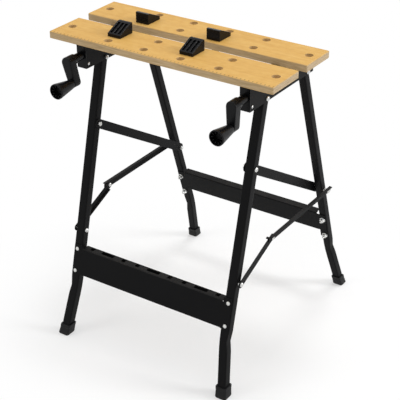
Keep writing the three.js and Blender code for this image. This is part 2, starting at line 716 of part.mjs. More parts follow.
function boltGeometry(nutFace, headFace, spacers = []) {
  const tip = nutFace - NUT_HEIGHT - BOLT_TIP;
  const shank = [[0, tip], [BOLT / 2, tip], [BOLT / 2, headFace]];
  const profile = [...shank, ...domeProfile(headFace, 1, HEAD, HEAD_HEIGHT)];
  const nut = rodX(nutFace - NUT_HEIGHT, nutFace, 0, 0, nutCorners, 6);
  const rings = spacers.map(([x0, x1]) => rodX(x0, x1, 0, 0, SPACER));
  return join(turnedX(profile, ROUND_SIDES), nut, ...rings);
}

// A bolt end that shows on one face only: a domed head with a short shank towards the shank's end.
function headGeometry(face, outwardSign, shankEnd, diameter, head, headHeight) {
  const shank = [[0, shankEnd], [diameter / 2, shankEnd], [diameter / 2, face]];
  return turnedX([...shank, ...domeProfile(face, outwardSign, head, headHeight)], ROUND_SIDES);
}

// A hexagon nut on a face towards the middle, with the bolt's tip through it and a stub into the face.
function nutGeometry(face, stubEnd) {
  const nut = rodX(face - NUT_HEIGHT, face, 0, 0, nutCorners, 6);
  return join(nut, rodX(face - NUT_HEIGHT - BOLT_TIP, stubEnd, 0, 0, BOLT));
}

// Links: drawn along +Y from their first pivot

function braceGeometry(length) {
  const half = BRACE_WIDTH / 2;
  const outline = roundedBox(-half, length + half, -half, half, half - END_FLAT);
  const strip = drawnX(outline, braceInner, braceOuter);
  const hole = (y) => rodX(braceInner - OVERCUT, braceOuter + OVERCUT, y, 0, boltHole);
  return cut(strip, [hole(0), hole(length)]);
}

// The lower stay is an angle: its flange runs along the bottom edge, turned in towards the leg.
function lowerStayGeometry(length) {
  const half = LOWER_WIDTH / 2;
  const outline = roundedBox(-half, length + half, -half, half, half - END_FLAT);
  const plate = drawnX(outline, lowerWeb, lowerWeb + STAY_SHEET);
  const flange = block(
    stayInner, lowerWeb + STAY_SHEET, SPACER, length - ELBOW_RELIEF, -half, STAY_SHEET - half);
  const hole = (y, diameter) => rodX(lowerWeb - OVERCUT, lowerWeb + STAY_SHEET + OVERCUT, y, 0, diameter);
  return cut(join(plate, flange), [hole(0, boltHole), hole(length, RIVET + 2 * TURN)]);
}

// The upper stay is drawn from the elbow to the rear leg. Its flange runs along the top edge, over the bolt
// heads and turned outwards. A lug turned in over the lower stay is its stop.
function upperStayGeometry(length, lowerAngle) {
  const top = HEAD / 2 + SLIDE + STAY_SHEET;
  const front = -STAY_OVERHANG;
  const rear = length + STAY_TAIL;
  const plate = drawnX(roundedBox(front, rear, -UPPER_BELOW, top, STAY_CORNER), upperWeb, upperOuter);
  const flange = block(
    upperWeb, upperOuter + UPPER_FLANGE, front + STAY_CORNER, rear - STAY_CORNER, top - STAY_SHEET, top);
  const lugFloor = LOWER_WIDTH / 2 + STOP_GAP;
  const lug = block(
    stayInner, upperWeb + STAY_SHEET / 2, -STOP_AT - STOP_LENGTH, -STOP_AT, lugFloor, lugFloor + STAY_SHEET);
  lug.rotateX(lowerAngle);
  const hole = (y, diameter) => rodX(upperWeb - OVERCUT, upperOuter + OVERCUT, y, 0, diameter);
  return cut(join(plate, flange, lug), [hole(0, RIVET + 2 * TURN), hole(length, boltHole)]);
}

// Assembly

const bench = new THREE.Group();

function frameAt(pivot, turn) {
  const group = new THREE.Group();
  group.position.set(0, pivot.x, pivot.y);
  group.rotation.x = turn;
  bench.add(group);
  return group;
}

const frontRows = [FRONT_ROW_INSET, FRONT_BOARD_DEPTH - JAW_ROW_INSET];
const rearRows = [JAW_ROW_INSET, REAR_BOARD_DEPTH - REAR_ROW_INSET];
const frontHoles = holePlaces(0, frontRows);
const rearHoles = holePlaces(rearBoardFront, rearRows);
add(bench, 'front_jaw_board', boardGeometry(0, FRONT_BOARD_DEPTH, frontHoles), 'wood');
add(bench, 'rear_jaw_board', boardGeometry(rearBoardFront, REAR_BOARD_DEPTH, rearHoles), 'wood');

function addDog(name, [x, y], turn) {
  const dog = add(bench, name, dogGeometry(), 'plastic');
  dog.position.set(x, y, HEIGHT + SEAT);
  dog.rotation.z = turn;
}

addDog('front_left_dog', frontHoles[HOLES_PER_ROW], 0);
addDog('front_right_dog', frontHoles[HOLES_PER_ROW + 2], 0);
addDog('rear_left_dog', rearHoles[0], Math.PI);
addDog('rear_right_dog', rearHoles[2], Math.PI);

addPair(bench, 'vice_rail', railGeometry(), 'paint');
addPair(bench, 'front_bush', frontBushGeometry(), 'plastic');
addPair(bench, 'rear_bush', rearBushGeometry(), 'plastic');
addPair(bench, 'jaw_nut', jawNutGeometry(), 'plastic');

for (const [side, sign, turn] of [['left', -1, LEFT_CRANK_TURN], ['right', 1, 0]]) {
  const crank = new THREE.Group();
  crank.position.set(sign * FRAME_HALF, 0, spindleHeight);
  crank.rotation.y = turn;
  bench.add(crank);
  add(crank, `${side}_spindle`, spindleGeometry(), 'steel');
  add(crank, `${side}_crank_arm`, crankArmGeometry(), 'plastic');
  add(crank, `${side}_grip_pin`, gripPinGeometry(), 'paint');
  add(crank, `${side}_crank_grip`, gripGeometry(), 'plastic');
}

const railHalf = railOuter / 2;
const railBolt = boltGeometry(FRAME_HALF - railHalf - SEAT, FRAME_HALF + railHalf + SEAT);
addPair(frameAt(pivotA, 0), 'front_pivot', railBolt, 'zinc');
addPair(frameAt(pivotB, 0), 'rear_pivot', railBolt, 'zinc');

const frontFrame = frameAt(pivotA, -FRONT_LEAN);
const frontDrops = [0, BRACE_DROP, LOWER_DROP];
addPair(frontFrame, 'front_leg', legGeometry(FRONT_TUBE, pivotA, FRONT_LEAN, frontDrops), 'paint');
const tray = sheetGeometry(
  FRONT_TUBE, TRAY_DROP, TRAY_HEIGHT, traySection(), TRAY_DROP - TRAY_EAR_RISE, TRAY_DROP + TRAY_HEIGHT);
add(frontFrame, 'front_tool_tray', cut(tray, traySlots()), 'paint');

const rearFrame = frameAt(pivotB, REAR_LEAN);
addPair(rearFrame, 'rear_leg', legGeometry(REAR_TUBE, pivotB, REAR_LEAN, [0, STAY_DROP]), 'paint');
const crossbarSection = channelShape(CROSSBAR_HEIGHT, CROSSBAR_RETURN, CROSSBAR_FLANGE, SHEET, SHEET_BEND);
const crossbar = sheetGeometry(
  REAR_TUBE, CROSSBAR_DROP, CROSSBAR_HEIGHT, crossbarSection, CROSSBAR_DROP + SHEET_BEND,
  CROSSBAR_DROP + CROSSBAR_EAR);
add(rearFrame, 'rear_crossbar', crossbar, 'paint');

const feet = [
  ...addPair(bench, 'front_foot', footGeometry(FRONT_TUBE, pivotA, FRONT_LEAN, -1), 'plastic'),
  ...addPair(bench, 'rear_foot', footGeometry(REAR_TUBE, pivotB, REAR_LEAN, 1), 'plastic'),
];

const frontInner = FRAME_HALF - FRONT_TUBE / 2;
const frontOuter = FRAME_HALF + FRONT_TUBE / 2;
const braceHead = headGeometry(frontOuter + SEAT, 1, frontInner, BOLT, HEAD, HEAD_HEIGHT);
addPair(frameAt(pivotC, 0), 'brace_bolt', braceHead, 'zinc');
const lowerHead = headGeometry(frontInner - SEAT, -1, frontOuter, BOLT, HEAD, HEAD_HEIGHT);
addPair(frameAt(pivotF, 0), 'lower_bolt', lowerHead, 'zinc');
const stayBolt = boltGeometry(braceInner - SEAT, upperOuter + SEAT, [
  [FRAME_HALF + REAR_TUBE / 2 + SEAT, upperWeb - SEAT],
]);
addPair(frameAt(pivotD, 0), 'stay_bolt', stayBolt, 'zinc');

const braceRun = pivotC.clone().sub(pivotD);
const braceFrame = frameAt(pivotD, braceRun.angle());
addPair(braceFrame, 'side_brace', braceGeometry(braceRun.length()), 'paint');
const braceNut = nutGeometry(braceInner - SEAT, braceOuter - SEAT);
addPair(frameAt(pivotC, braceRun.angle()), 'brace_nut', braceNut, 'zinc');

const lowerRun = pivotE.clone().sub(pivotF);
const upperRun = pivotD.clone().sub(pivotE);
const lowerFrame = frameAt(pivotF, lowerRun.angle());
addPair(lowerFrame, 'lower_stay', lowerStayGeometry(lowerRun.length()), 'paint');
const upperFrame = frameAt(pivotE, upperRun.angle());
const elbowAngle = lowerRun.angle() - upperRun.angle();
addPair(upperFrame, 'upper_stay', upperStayGeometry(upperRun.length(), elbowAngle), 'paint');
const elbowRivet = join(
  headGeometry(upperOuter + SEAT, 1, lowerWeb - SEAT, RIVET, RIVET_HEAD, RIVET_HEAD_HEIGHT),
  headGeometry(lowerWeb - SEAT, -1, upperWeb, RIVET, RIVET_HEAD, RIVET_HEAD_HEIGHT));
addPair(upperFrame, 'elbow_rivet', elbowRivet, 'zinc');
const lowerPin = join(
  headGeometry(lowerWeb + STAY_SHEET + SEAT, 1, lowerWeb, BOLT, HEAD, HEAD_HEIGHT),
  rodX(stayInner, lowerWeb - SEAT, 0, 0, LOWER_SPACER),
  rodX(lowerWeb - STAY_SHEET / 2, lowerWeb + STAY_SHEET / 2, 0, 0, BOLT));
addPair(lowerFrame, 'lower_stay_bolt', lowerPin, 'zinc');

// The floor point under the middle of the feet becomes the origin.
bench.updateMatrixWorld(true);
const footing = new THREE.Box3();
feet.forEach((foot) => footing.expandByObject(foot, true));
bench.position.y = -(footing.min.y + footing.max.y) / 2;

export default bench;
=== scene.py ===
# %% [markdown]
# A light folding workbench stands open: two wooden jaw boards, a black steel frame, two cranks.
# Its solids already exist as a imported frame, in metres, with one body for each piece that moves.
# This lesson gives them their looks. It moves no body: it softens edges, cuts threads, adds small
# fasteners, paints every surface with nodes, and then sets up the floor, the light and the camera.

# %% Load the frame
import json
import math

import bmesh
import bpy
from mathutils import Matrix, Vector


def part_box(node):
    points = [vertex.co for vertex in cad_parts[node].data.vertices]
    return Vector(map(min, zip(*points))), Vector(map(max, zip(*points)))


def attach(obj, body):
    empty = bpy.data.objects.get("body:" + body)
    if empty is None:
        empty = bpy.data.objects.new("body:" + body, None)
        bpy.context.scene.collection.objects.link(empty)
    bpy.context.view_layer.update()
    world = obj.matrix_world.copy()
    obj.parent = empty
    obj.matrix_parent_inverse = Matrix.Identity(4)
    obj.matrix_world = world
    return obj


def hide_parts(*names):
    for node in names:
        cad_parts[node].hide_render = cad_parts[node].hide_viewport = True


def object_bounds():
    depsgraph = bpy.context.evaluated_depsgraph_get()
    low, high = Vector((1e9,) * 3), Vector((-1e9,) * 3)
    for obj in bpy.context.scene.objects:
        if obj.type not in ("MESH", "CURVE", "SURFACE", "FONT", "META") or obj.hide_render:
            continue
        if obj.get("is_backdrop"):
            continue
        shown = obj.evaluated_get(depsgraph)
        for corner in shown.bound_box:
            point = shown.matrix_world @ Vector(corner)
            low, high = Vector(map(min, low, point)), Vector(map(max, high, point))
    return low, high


MM = 0.001
SIDES = ("left", "right")
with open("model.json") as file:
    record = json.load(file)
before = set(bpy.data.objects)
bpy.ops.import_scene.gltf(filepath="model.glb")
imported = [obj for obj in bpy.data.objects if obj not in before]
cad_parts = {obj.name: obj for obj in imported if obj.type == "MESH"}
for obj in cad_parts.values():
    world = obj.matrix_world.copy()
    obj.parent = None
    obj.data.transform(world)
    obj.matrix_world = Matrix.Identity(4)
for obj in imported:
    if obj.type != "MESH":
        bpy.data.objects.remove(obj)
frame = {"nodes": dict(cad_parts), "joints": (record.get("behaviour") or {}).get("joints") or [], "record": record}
cad_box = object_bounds()
record = frame["record"]
body_of = {node: body for body, nodes in record["behaviour"]["bodies"].items() for node in nodes}
slot_of = {part["node"]: part["material_slot"] for part in record["subparts"]}
pivot_of = {joint["name"]: Vector(joint["pos_m"]) for joint in frame["joints"] if "pos_m" in joint}

# %% [markdown]
# A finish is a sum of masks and noises, so it helps to write it as a sum. The class below wraps one
# socket of a node tree. Arithmetic on it adds Math nodes, and its node method adds any other node.
# The same class serves the material trees and the Geometry Nodes trees further down.


# %% A socket that takes part in arithmetic
class Wire:
    """One output socket of a tree. Sums and products of wires become Math nodes."""

    def __init__(self, tree, socket=None):
        self.tree = tree
        self.socket = socket

    def node(self, kind, settings=None, inputs=None, output=0):
        """Adds a node: its settings first, then values or wires for its sockets; returns an output."""
        made = self.tree.nodes.new(kind)
        for name, value in (settings or {}).items():
            if name == "stops":
                self.set_stops(made.color_ramp, value)
            else:
                setattr(made, name, value)
        for name, value in (inputs or {}).items():
            self.feed(made.inputs[name], value)
        return Wire(self.tree, made.outputs[output]) if len(made.outputs) else None

    def feed(self, socket, value):
        """Gives a socket a wire, a list of wires or a plain value."""
        if isinstance(value, Wire):
            self.tree.links.new(value.socket, socket)
        elif isinstance(value, list):
            for wire in value:
                self.tree.links.new(wire.socket, socket)
        else:
            socket.default_value = value

    def siblings(self):
        """Every output of the node that this wire comes from."""
        return [Wire(self.tree, socket) for socket in self.socket.node.outputs]

    @staticmethod
    def set_stops(ramp, stops):
        while len(ramp.elements) < len(stops):
            ramp.elements.new(1.0)
        for element, (position, colour) in zip(ramp.elements, stops):
            element.position = position
            element.color = colour

    def math(self, operation, *values):
        return self.node("ShaderNodeMath", {"operation": operation}, dict(enumerate(values)))

    def __add__(self, other):
        return self.math("ADD", self, other)

    def __sub__(self, other):
        return self.math("SUBTRACT", self, other)

    def __rsub__(self, other):
        return self.math("SUBTRACT", other, self)

    def __mul__(self, other):
        return self.math("MULTIPLY", self, other)

    def __truediv__(self, other):
        return self.math("DIVIDE", self, other)

    def __rtruediv__(self, other):
        return self.math("DIVIDE", other, self)

    def __abs__(self):
        return self.math("ABSOLUTE", self)

    __radd__ = __add__
    __rmul__ = __mul__


print("Wire: + - * / and abs, plus node() for everything else")

# %% [markdown]
# Colours are easiest to read as the codes of a paint chart, but a shader works in linear light, so
# one helper converts them. The others are the few building blocks that every finish shares: a soft
# step that turns any value into a mask, a colour mix, a colour ramp and a noise.


# %% Colours, masks and noise
def tint(code):
    """A paint chart code such as d9b26e as linear red, green, blue and alpha, by the sRGB curve."""
    shares = [int(code[start : start + 2], 16) / 255 for start in (0, 2, 4)]
    linear = [share / 12.92 if share < 0.04045 else ((share + 0.055) / 1.055) ** 2.4 for share in shares]
    return (*linear, 1.0)


def soft_step(value, low, high):
    """0 where the value is at low, 1 where it is at high, and a smooth rise between them."""
    settings = {"interpolation_type": "SMOOTHSTEP"}
    return value.node("ShaderNodeMapRange", settings, {"Value": value, "From Min": low, "From Max": high})


def blend(mask, first, second):
    """Two colours, the second one where the mask is 1."""
    return mask.node("ShaderNodeMix", {"data_type": "RGBA"}, {0: mask, 6: first, 7: second}, 2)


def ramp(value, stops):
    return value.node("ShaderNodeValToRGB", {"stops": stops}, {"Fac": value})


def noise(place, per_metre, detail=3.0, stretch=(1, 1, 1)):
    stretched = place.node("ShaderNodeMapping", None, {"Vector": place, "Scale": stretch})
    sockets = {"Vector": stretched, "Scale": per_metre, "Detail": detail}
    return place.node("ShaderNodeTexNoise", None, sockets)


print("paint chart black 080809 is", round(tint("080809")[0], 4), "in linear light")

# %% [markdown]
# Every finish opens and closes the same way. It opens with Object coordinates, which stay with a piece
# when its body moves, and it may ask which way a surface faces or read a mark that the mesh carries. It
# closes with a bump, a Principled shader and the output.


# %% Opening and closing a finish
finishes = {}


def start_finish(slot, name):
    """Makes the material of a slot and returns its Object coordinates."""
    material = bpy.data.materials.new(name)
    material.use_nodes = True
    material.node_tree.nodes.clear()
    finishes[slot] = material
    return Wire(material.node_tree).node("ShaderNodeTexCoord", output="Object")


def facing_of(place):
    """The direction that the surface faces, in the piece's own axes."""
    return place.node("ShaderNodeTexCoord", output="Normal")


def along_axis(vector_wire, axis):
    """The X, Y or Z of a vector."""
    return vector_wire.node("ShaderNodeSeparateXYZ", None, {"Vector": vector_wire}, axis)


def mark_of(place, name):
    """A mark that the mesh carries: 1 where it is set, and 0 elsewhere."""
    return place.node("ShaderNodeAttribute", {"attribute_name": name}, output="Fac")


def close_finish(height, depth, shader_sockets):
    """Closes a finish with a bump of that depth in metres and a Principled shader."""
    bump = height.node("ShaderNodeBump", None, {"Height": height, "Distance": depth, "Strength": 1.0})
    shader = height.node("ShaderNodeBsdfPrincipled", None, {**shader_sockets, "Normal": bump})
    height.node("ShaderNodeOutputMaterial", None, {"Surface": shader})


print("finishes to make:", sorted(set(slot_of.values())))

# %% [markdown]
# The jaws are golden board with a thin grain that runs along their length. Stretching a noise along X
# gives fibres, a slower one gives broad, faint bands, and a nearly round one mottles the face. The sawn
# edges are greyer and show pressed layers, and the ends are greyer still, so the object normal tells
# faces, edges and ends apart. Rounding marks the walls of the bored holes as inner, and the finish
# paints them paler: painted light, as if light fell into the holes.

# %% Jaw wood: grain, edges and holes
GRAIN_STRETCH = (6, 160, 160)
BAND_STRETCH = (1, 9, 9)
MOTTLE_STRETCH = (1, 1.8, 1.8)
PORE_STRETCH = (60, 900, 900)
LAYER_STRETCH = (30, 30, 420)
BANDS_PER_METRE = 5
MOTTLES_PER_METRE = 55
FACE_STOPS = [(0.32, tint("cc9b4d")), (0.5, tint("d6a85a")), (0.68, tint("deb468"))]
EDGE_STOPS = [(0.3, tint("9f8862")), (0.5, tint("b99e75")), (0.7, tint("cab08a"))]
END_GREY = tint("b0a08a")
PORE_BROWN = tint("a87f45")
# Painted light: a paler wood for the walls of the bored holes, as if they were lit.
PAINTED_BORE_LIGHT = tint("cfa76a")

place = start_finish("jaw_wood", "golden_jaw_board")
facing = facing_of(place)
endwise = abs(along_axis(facing, "X"))
upward = along_axis(facing, "Z")
grain = noise(place, 1.0, 6.0, GRAIN_STRETCH)
bands = noise(place, BANDS_PER_METRE, 2.0, BAND_STRETCH)
mottle = noise(place, MOTTLES_PER_METRE, 4, MOTTLE_STRETCH)
pores = soft_step(noise(place, 1.0, 2.0, PORE_STRETCH), 0.6, 0.72)
layers = noise(place, 1.0, 3.0, LAYER_STRETCH)
face_colour = ramp(0.25 * bands + 0.35 * grain + 0.4 * mottle, FACE_STOPS)
edge_colour = ramp(0.7 * layers + 0.3 * grain, EDGE_STOPS)
edge_colour = blend(0.4 * soft_step(endwise, 0.6, 0.9), edge_colour, END_GREY)
wood_colour = blend(soft_step(abs(upward), 0.55, 0.85), edge_colour, face_colour)
wood_colour = blend(0.22 * pores, wood_colour, PORE_BROWN)
# The hole walls are painted paler: painted light, as if light fell into the holes.
wood_colour = blend(0.6 * mark_of(place, "inner"), wood_colour, PAINTED_BORE_LIGHT)
print("jaw wood: grain along X,", len(FACE_STOPS), "face tones and", len(EDGE_STOPS), "edge tones")

# %% [markdown]
# Short ruler marks stand on the top of the front jaw, beside its edge. Three things multiply into one
# mask: a zigzag along X, which the Ping-Pong mode of a Math node gives, the distance from the board's
# front edge, and a face that looks up. Edges that hands and tools rub turn a little paler. Then the same
# noises that colour the wood raise its grain.

# %% Jaw wood: ruler marks, wear and gloss
RULER_STEP = 10 * MM
RULER_MARK = 1.8 * MM
RULER_FROM = 1.5 * MM
RULER_TO = 6.5 * MM
RULER_BLUR = 0.3 * MM
RULER_INK = tint("5a4426")
RUBBED_WOOD = tint("e9cf9c")
WOOD_RUBS_PER_METRE = 60

along = along_axis(place, "X")
to_mark = along.math("PINGPONG", along, RULER_STEP / 2)
from_edge = along_axis(place, "Y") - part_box("front_jaw_board")[0].y
marks = soft_step(to_mark, 0.7 * RULER_MARK, 0.4 * RULER_MARK) * soft_step(upward, 0.8, 0.9)
marks = marks * soft_step(from_edge, RULER_FROM - RULER_BLUR, RULER_FROM)
marks = marks * soft_step(from_edge, RULER_TO + RULER_BLUR, RULER_TO)
wood_colour = blend(0.7 * marks, wood_colour, RULER_INK)
rub = mark_of(place, "worn") * soft_step(noise(place, WOOD_RUBS_PER_METRE, 3), 0.4, 0.6)
wood_colour = blend(0.5 * rub, wood_colour, RUBBED_WOOD)
close_finish(0.6 * grain + 0.4 * layers - 0.4 * pores, 0.1 * MM, {
    "Base Color": wood_colour, "Roughness": 0.46 + 0.2 * grain + 0.12 * rub, "Specular IOR Level": 0.25,
})
print("ruler marks every", RULER_STEP / MM, "mm")

# %% [markdown]
# Legs, rails, tray and braces are steel with a satin black powder coat. Powder never levels fully,
# so it keeps a fine orange-peel skin: a small noise in the bump does that. A slow noise varies the
# gloss. Where sheets were cut and legs were carried, thin lines along the edges have rubbed grey. The
# level faces, such as the top of the tray, are painted lighter: partly a film of dust, partly painted
# light from above.

# %% Black powder coat
PEEL_PER_METRE = 420
PATCHES_PER_METRE = 14
CHIPS_PER_METRE = 75
DUST_AND_LIGHT_PER_METRE = 35
PAINT_TONES = (tint("080809"), tint("0f0f10"))
# Painted light and dust: a paler grey for level faces, partly dust, partly light from above.
DUST_AND_TOP_LIGHT_GREY = tint("383736")
RUBBED_STEEL = tint("4c4d4f")

place = start_finish("black_paint", "black_powder_coat")
upward = along_axis(facing_of(place), "Z")
peel = noise(place, PEEL_PER_METRE, 2)
patches = noise(place, PATCHES_PER_METRE, 3)
chips = mark_of(place, "worn") * soft_step(noise(place, CHIPS_PER_METRE, 4), 0.5, 0.62)
# Level faces are painted lighter: partly settled dust, partly painted light from above.
dust_and_light_patches = 0.6 + 0.4 * soft_step(noise(place, DUST_AND_LIGHT_PER_METRE, 4), 0.35, 0.7)
dust_and_top_light = soft_step(upward, 0.5, 0.95) * dust_and_light_patches
colour = blend(patches, *PAINT_TONES)
colour = blend(0.55 * dust_and_top_light, colour, DUST_AND_TOP_LIGHT_GREY)
colour = blend(0.5 * chips, colour, RUBBED_STEEL)
close_finish(peel, 0.05 * MM, {
    "Base Color": colour, "Roughness": 0.4 + 0.16 * patches + 0.1 * dust_and_top_light, "Metallic": 0.4 * chips,
    "Specular IOR Level": 0.08,
})
print("powder coat: orange peel about", round(1 / PEEL_PER_METRE / MM, 1), "mm wide")

# %% [markdown]
# Dogs, cranks, grips and bushes are moulded from black plastic. A mould leaves a very fine pebble
# and no chips, only a duller shine where fingers turn the grips, and paler lines along the ribs.

# %% Moulded plastic
PEBBLES_PER_METRE = 1100
HANDLING_PER_METRE = 40
RIB_RUBS_PER_METRE = 90
PLASTIC_TONES = (tint("08080a"), tint("101012"))
RUBBED_PLASTIC = tint("343437")

place = start_finish("black_plastic", "black_moulded_plastic")
pebble = noise(place, PEBBLES_PER_METRE, 2)
handling = noise(place, HANDLING_PER_METRE, 3)
rub = mark_of(place, "worn") * soft_step(noise(place, RIB_RUBS_PER_METRE, 3), 0.35, 0.65)
colour = blend(0.4 * rub, blend(handling, *PLASTIC_TONES), RUBBED_PLASTIC)
close_finish(pebble, 0.03 * MM, {
    "Base Color": colour, "Roughness": 0.2 + 0.16 * handling, "Specular IOR Level": 0.14,
})
print("moulded plastic: pebble about", round(1 / PEBBLES_PER_METRE / MM, 1), "mm wide")

# %% [markdown]
# The foot caps are softer plastic that grips the floor. They scuff where they touch it, so height
# above the floor and a rough noise together mix in a dusty grey near the soles.

# %% Foot plastic
SCUFF_HEIGHT = 14 * MM
GRIT_PER_METRE = 260
FOOT_RUBS_PER_METRE = 120
FOOT_CLOUDS_PER_METRE = 30
FOOT_TONES = (tint("0f0f10"), tint("181819"))
FLOOR_DIRT = tint("4e4b46")

place = start_finish("foot_plastic", "soft_foot_plastic")
grit = noise(place, GRIT_PER_METRE, 4)
scuff = soft_step(along_axis(place, "Z"), SCUFF_HEIGHT, 0) * soft_step(grit, 0.45, 0.65)
rub = mark_of(place, "worn") * soft_step(noise(place, FOOT_RUBS_PER_METRE, 3), 0.4, 0.6)
colour = blend(noise(place, FOOT_CLOUDS_PER_METRE, 2), *FOOT_TONES)
colour = blend(0.3 * scuff + 0.25 * rub, colour, FLOOR_DIRT)
close_finish(grit, 0.08 * MM, {
    "Base Color": colour, "Roughness": 0.5 + 0.2 * scuff, "Specular IOR Level": 0.18,
})
print("foot plastic: scuffed up to", SCUFF_HEIGHT / MM, "mm")

# %% [markdown]
# Bolts, nuts and rivets are zinc plated. The plating is bright but cloudy, with a hint of blue and
# yellow, and it keeps fine scratches from the spanner. The cloud drives colour and gloss together.

# %% Zinc plate
CLOUDS_PER_METRE = 160
SCRATCH_STRETCH = (400, 2600, 2600)
ZINC_TONES = (tint("c2c6cc"), tint("dcd9cf"))
SCRATCHED_ZINC = tint("8d8f92")

place = start_finish("zinc_fasteners", "bright_zinc_plate")
cloud = noise(place, CLOUDS_PER_METRE, 3)
scratches = noise(place, 1.0, 3, SCRATCH_STRETCH)
scratched = 0.4 * mark_of(place, "worn") * soft_step(scratches, 0.45, 0.6)
colour = blend(scratched, blend(cloud, *ZINC_TONES), SCRATCHED_ZINC)
close_finish(scratches, 0.03 * MM, {
    "Base Color": colour, "Roughness": 0.22 + 0.2 * cloud, "Metallic": 1.0,
})
print("zinc plate: clouds about", round(1 / CLOUDS_PER_METRE / MM, 1), "mm wide")

# %% [markdown]
# The vice spindles are bare turned steel with oil in the roots of the thread. The thread tree marks
# its core with an attribute, so the oil can gather there and the crests stay bright.

# %% Turned steel
FILM_PER_METRE = 55
TURNING_STRETCH = (300, 4000, 300)
STEEL_TONES = (tint("8f8d89"), tint("aaa8a3"))
OIL = tint("3a352d")

place = start_finish("bare_steel", "oiled_turned_steel")
turning = noise(place, 1.0, 2, TURNING_STRETCH)
film = noise(place, FILM_PER_METRE, 3)
colour = blend(0.7 * mark_of(place, "oil"), blend(film, *STEEL_TONES), OIL)
close_finish(turning, 0.03 * MM, {
    "Base Color": colour, "Roughness": 0.26 + 0.2 * film, "Metallic": 1.0,
})
print("finishes made:", sorted(finishes))

# %% [markdown]
# A solid straight from CAD has knife edges, and no real edge is that sharp. Each solid is copied,
# its loose triangles are merged, flat triangles are dissolved into faces, and the sharp outer edges
# get a narrow rounded bevel. The bevel's own faces are marked as worn, and upright faces well inside
# the outline, such as the walls of a hole, are marked as inner. The finishes read both marks.


# %% Rounding a solid's sharp edges
SLIVER = 0.002 * MM
FLAT = math.radians(0.5)
SHARP = math.radians(50)
SHADE_BREAK = math.radians(38)
INNER_INSET = 6 * MM
UPRIGHT = 0.5
ROUND_STEPS = 2
EDGE_ROUND = {
    "jaw_wood": 0.4 * MM,
    "black_paint": 0.35 * MM,
    "black_plastic": 0.7 * MM,
    "foot_plastic": 0.8 * MM,
    "zinc_fasteners": 0.35 * MM,
    "bare_steel": 0.3 * MM,
}


def merged_shape(node):
    """The node's own triangles, joined at their corners."""
    shape = bmesh.new()
    shape.from_mesh(frame["nodes"][node].data)
    bmesh.ops.remove_doubles(shape, verts=shape.verts, dist=SLIVER)
    return shape


def rounded_mesh(node, shape, width):
    """The shape as a mesh with its sharp outer edges rounded, and worn and inner faces marked."""
    bmesh.ops.dissolve_limit(shape, angle_limit=FLAT, verts=shape.verts, edges=shape.edges)
    worn_layer = shape.faces.layers.float.new("worn")
    inner_layer = shape.faces.layers.float.new("inner")
    low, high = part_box(node)
    sharp = [edge for edge in shape.edges if edge.is_convex and edge.calc_face_angle(0) > SHARP]
    rounded = bmesh.ops.bevel(
        shape, geom=sharp, offset=width, segments=ROUND_STEPS, profile=0.5, affect="EDGES",
        clamp_overlap=True,
    )
    for face in rounded["faces"]:
        face[worn_layer] = 1.0
    bmesh.ops.dissolve_degenerate(shape, dist=SLIVER, edges=shape.edges)
    for face in shape.faces:
        face.smooth = True
        at = face.calc_center_median()
        inset = min(at.x - low.x, high.x - at.x, at.y - low.y, high.y - at.y)
        face[inner_layer] = float(inset > INNER_INSET and abs(face.normal.z) < UPRIGHT)
    open_edges = sum(not edge.is_manifold for edge in shape.edges)
    mesh = bpy.data.meshes.new(f"{node}_rounded")
    shape.to_mesh(mesh)
    shape.free()
    mesh.set_sharp_from_angle(angle=SHADE_BREAK)
    return mesh, open_edges


print("edge rounds in mm:", {slot: round(width / MM, 2) for slot, width in EDGE_ROUND.items()})

# %% [markdown]
# A crank grip is a turned shape, and its solid has only a few flat sides. The eye follows its round
# mouth, so the grip is turned again. Only the corners on one side of the axis are kept, which are its
# outline. Each corner, carried round the axis in many fine steps, gives a ring of points, and a band of
# small faces joins the rings of two neighbouring corners. Blender's spin tool would do the same, but it
# leaves the faces in another order each time, and this way every run gives the same mesh.


# %% Turning the crank grips more finely
TURN_STEPS = 72
SAME_SPOKE = 0.9999
ACROSS_AXIS = Vector((1, 0, 1))


def middle_of(node):
    low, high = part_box(node)
    return (low + high) / 2


def turned_shape(node, centre):
    """A piece turned about Y, made again in fine steps from its outline on one side of the axis."""
    outline = merged_shape(node)
    spokes = {corner: ((corner.co - centre) * ACROSS_AXIS).normalized() for corner in outline.verts}
    first = next(iter(spokes.values()))
    others = [corner for corner, spoke in spokes.items() if spoke.dot(first) < SAME_SPOKE]
    bmesh.ops.delete(outline, geom=others, context="VERTS")
    turns = [Matrix.Rotation(math.tau * step / TURN_STEPS, 3, "Y") for step in range(TURN_STEPS)]
    shape = bmesh.new()
    rings = {}
    for corner in outline.verts:
        rings[corner] = [shape.verts.new(centre + turn @ (corner.co - centre)) for turn in turns]
    for edge in outline.edges:
        ring, next_ring = [rings[corner] for corner in edge.verts]
        for step in range(TURN_STEPS):
            shape.faces.new((ring[step - 1], ring[step], next_ring[step], next_ring[step - 1]))
    outline.free()
    bmesh.ops.recalc_face_normals(shape, faces=shape.faces)
    return shape


turned_about = {f"{side}_crank_grip": f"{side}_grip_pin" for side in SIDES}
print("turned again in", TURN_STEPS, "steps:", sorted(turned_about))

# %% [markdown]
# Every solid but the spindles now gets its rounded copy. A Weighted Normal modifier makes the flats
# shade flat and the bevels round; its result is turned into a plain mesh. The copy rides on the body
# of its solid and replaces it in the picture, while the solid stays for the physics.


# %% Dress every solid
def keep(piece, body, slot, *nodes):
    """Hands a finished piece to the frame: what it rides on, its finish, what it stands for."""
    piece.data.materials.clear()
    piece.data.materials.append(finishes[slot])
    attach(piece, body)
    if nodes:
        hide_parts(*nodes)


def plain_mesh(piece):
    """The evaluated piece as a plain mesh, with its modifiers removed."""
    graph = bpy.context.evaluated_depsgraph_get()
    mesh = bpy.data.meshes.new_from_object(piece.evaluated_get(graph), depsgraph=graph)
    piece.modifiers.clear()
    piece.data = mesh
    return piece


def place_piece(name, mesh):
    piece = bpy.data.objects.new(name, mesh)
    bpy.context.scene.collection.objects.link(piece)
    return piece


